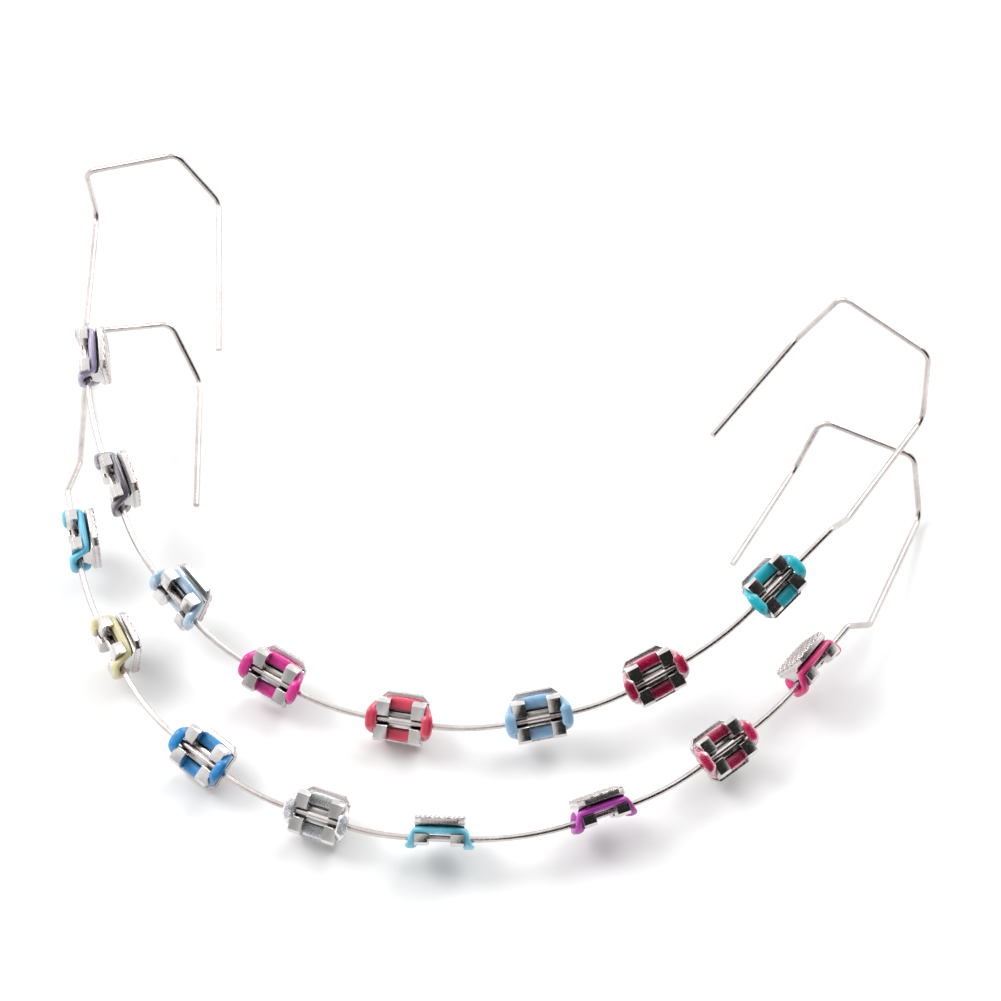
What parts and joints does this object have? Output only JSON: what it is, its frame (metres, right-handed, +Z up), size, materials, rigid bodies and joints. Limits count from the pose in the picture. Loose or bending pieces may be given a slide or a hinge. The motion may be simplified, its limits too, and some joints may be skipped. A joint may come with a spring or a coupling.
{
  "type": "orthodontic arch wire pair with brackets",
  "caption": "Two bent steel arch wires lying one over the other, each with a row of twin brackets, bonding pads, coloured elastic ties and a molar clip bent at each end.",
  "frame": {"origin": "on the table, under the middle of the part's bounding box", "axes": "+Z up, -Y towards the front of both arches, +X towards the right of a viewer at the front"},
  "size_m": [0.0592, 0.0437, 0.0138],
  "materials": {
    "wire_steel": "drawn stainless spring wire",
    "bracket_steel": "polished stainless steel casting",
    "pad_steel": "woven steel mesh on foil",
    "tie_a1": "glossy lavender elastic",
    "tie_a2": "glossy smoke grey elastic",
    "tie_a3": "glossy pale steel blue elastic",
    "tie_a4": "glossy magenta elastic",
    "tie_a5": "glossy coral elastic",
    "tie_a6": "glossy light blue elastic",
    "tie_a7": "translucent raspberry elastic",
    "tie_a8": "glossy turquoise elastic",
    "tie_b1": "glossy sky blue elastic",
    "tie_b2": "glossy pale khaki yellow elastic",
    "tie_b3": "glossy strong blue elastic",
    "tie_b4": "clear elastic",
    "tie_b5": "glossy light cyan elastic",
    "tie_b6": "glossy violet elastic",
    "tie_b7": "translucent raspberry elastic",
    "tie_b8": "glossy hot pink elastic"
  },
  "bodies": {
    "arch_b": {"arch_wire_b": "wire_steel"},
    "arch_a": {"arch_wire_a": "wire_steel"},
    "brace_a1": {"bracket_a1": "bracket_steel", "pad_a1": "pad_steel", "tie_a1": "tie_a1"},
    "brace_a2": {"bracket_a2": "bracket_steel", "pad_a2": "pad_steel", "tie_a2": "tie_a2"},
    "brace_a3": {"bracket_a3": "bracket_steel", "pad_a3": "pad_steel", "tie_a3": "tie_a3"},
    "brace_a4": {"bracket_a4": "bracket_steel", "pad_a4": "pad_steel", "tie_a4": "tie_a4"},
    "brace_a5": {"bracket_a5": "bracket_steel", "pad_a5": "pad_steel", "tie_a5": "tie_a5"},
    "brace_a6": {"bracket_a6": "bracket_steel", "pad_a6": "pad_steel", "tie_a6": "tie_a6"},
    "brace_a7": {"bracket_a7": "bracket_steel", "pad_a7": "pad_steel", "tie_a7": "tie_a7"},
    "brace_a8": {"bracket_a8": "bracket_steel", "pad_a8": "pad_steel", "tie_a8": "tie_a8"},
    "brace_b1": {"bracket_b1": "bracket_steel", "pad_b1": "pad_steel", "tie_b1": "tie_b1"},
    "brace_b2": {"bracket_b2": "bracket_steel", "pad_b2": "pad_steel", "tie_b2": "tie_b2"},
    "brace_b3": {"bracket_b3": "bracket_steel", "pad_b3": "pad_steel", "tie_b3": "tie_b3"},
    "brace_b4": {"bracket_b4": "bracket_steel", "pad_b4": "pad_steel", "tie_b4": "tie_b4"},
    "brace_b5": {"bracket_b5": "bracket_steel", "pad_b5": "pad_steel", "tie_b5": "tie_b5"},
    "brace_b6": {"bracket_b6": "bracket_steel", "pad_b6": "pad_steel", "tie_b6": "tie_b6"},
    "brace_b7": {"bracket_b7": "bracket_steel", "pad_b7": "pad_steel", "tie_b7": "tie_b7"},
    "brace_b8": {"bracket_b8": "bracket_steel", "pad_b8": "pad_steel", "tie_b8": "tie_b8"}
  },
  "joints": [
    {"name": "arch_a_lift", "type": "slide", "parent": "arch_b", "child": "arch_a", "axis": [0, 0, 1], "range_m": [0, 0.03]},
    {"name": "spin_a1", "type": "hinge", "parent": "arch_a", "child": "brace_a1", "pos_m": [-0.02594, 0.00805, 0.00755], "axis": [0.3259, -0.9112, -0.2519], "range_deg": [-25, 25]},
    {"name": "spin_a2", "type": "hinge", "parent": "arch_a", "child": "brace_a2", "pos_m": [-0.02177, -0.00014, 0.00528], "axis": [0.5521, -0.8038, -0.2216], "range_deg": [-25, 25]},
    {"name": "spin_a3", "type": "hinge", "parent": "arch_a", "child": "brace_a3", "pos_m": [-0.01546, -0.00694, 0.00341], "axis": [0.7874, -0.5945, -0.1629], "range_deg": [-25, 25]},
    {"name": "spin_a4", "type": "hinge", "parent": "arch_a", "child": "brace_a4", "pos_m": [-0.008, -0.01078, 0.00237], "axis": [0.9505, -0.2999, -0.0809], "range_deg": [-25, 25]},
    {"name": "spin_a5", "type": "hinge", "parent": "arch_a", "child": "brace_a5", "pos_m": [0.00087, -0.01192, 0.00207], "axis": [0.9986, 0.0505, 0.0164], "range_deg": [-25, 25]},
    {"name": "spin_a6", "type": "hinge", "parent": "arch_a", "child": "brace_a6", "pos_m": [0.00957, -0.00989, 0.00265], "axis": [0.9123, 0.3941, 0.1115], "range_deg": [-25, 25]},
    {"name": "spin_a7", "type": "hinge", "parent": "arch_a", "child": "brace_a7", "pos_m": [0.0162, -0.00566, 0.00385], "axis": [0.7318, 0.6562, 0.1838], "range_deg": [-25, 25]},
    {"name": "spin_a8", "type": "hinge", "parent": "arch_a", "child": "brace_a8", "pos_m": [0.02231, 0.00193, 0.00596], "axis": [0.4975, 0.8356, 0.2329], "range_deg": [-25, 25]},
    {"name": "spin_b1", "type": "hinge", "parent": "arch_b", "child": "brace_b1", "pos_m": [-0.02341, -0.00348, 0.00283], "axis": [0.4179, -0.9076, -0.0396], "range_deg": [-25, 25]},
    {"name": "spin_b2", "type": "hinge", "parent": "arch_b", "child": "brace_b2", "pos_m": [-0.01869, -0.01111, 0.0025], "axis": [0.6244, -0.7803, -0.0341], "range_deg": [-25, 25]},
    {"name": "spin_b3", "type": "hinge", "parent": "arch_b", "child": "brace_b3", "pos_m": [-0.01075, -0.01786, 0.00221], "axis": [0.8815, -0.4718, -0.0206], "range_deg": [-25, 25]},
    {"name": "spin_b4", "type": "hinge", "parent": "arch_b", "child": "brace_b4", "pos_m": [-0.00222, -0.02057, 0.00209], "axis": [0.9925, -0.1225, -0.0054], "range_deg": [-25, 25]},
    {"name": "spin_b5", "type": "hinge", "parent": "arch_b", "child": "brace_b5", "pos_m": [0.00573, -0.02024, 0.0021], "axis": [0.9791, 0.2033, 0.0089], "range_deg": [-25, 25]},
    {"name": "spin_b6", "type": "hinge", "parent": "arch_b", "child": "brace_b6", "pos_m": [0.01525, -0.01599, 0.00229], "axis": [0.8049, 0.5928, 0.0259], "range_deg": [-25, 25]},
    {"name": "spin_b7", "type": "hinge", "parent": "arch_b", "child": "brace_b7", "pos_m": [0.02173, -0.00911, 0.00259], "axis": [0.5703, 0.8207, 0.0358], "range_deg": [-25, 25]},
    {"name": "spin_b8", "type": "hinge", "parent": "arch_b", "child": "brace_b8", "pos_m": [0.02573, -0.00164, 0.00291], "axis": [0.3683, 0.9288, 0.0406], "range_deg": [-25, 25]}
  ]
}
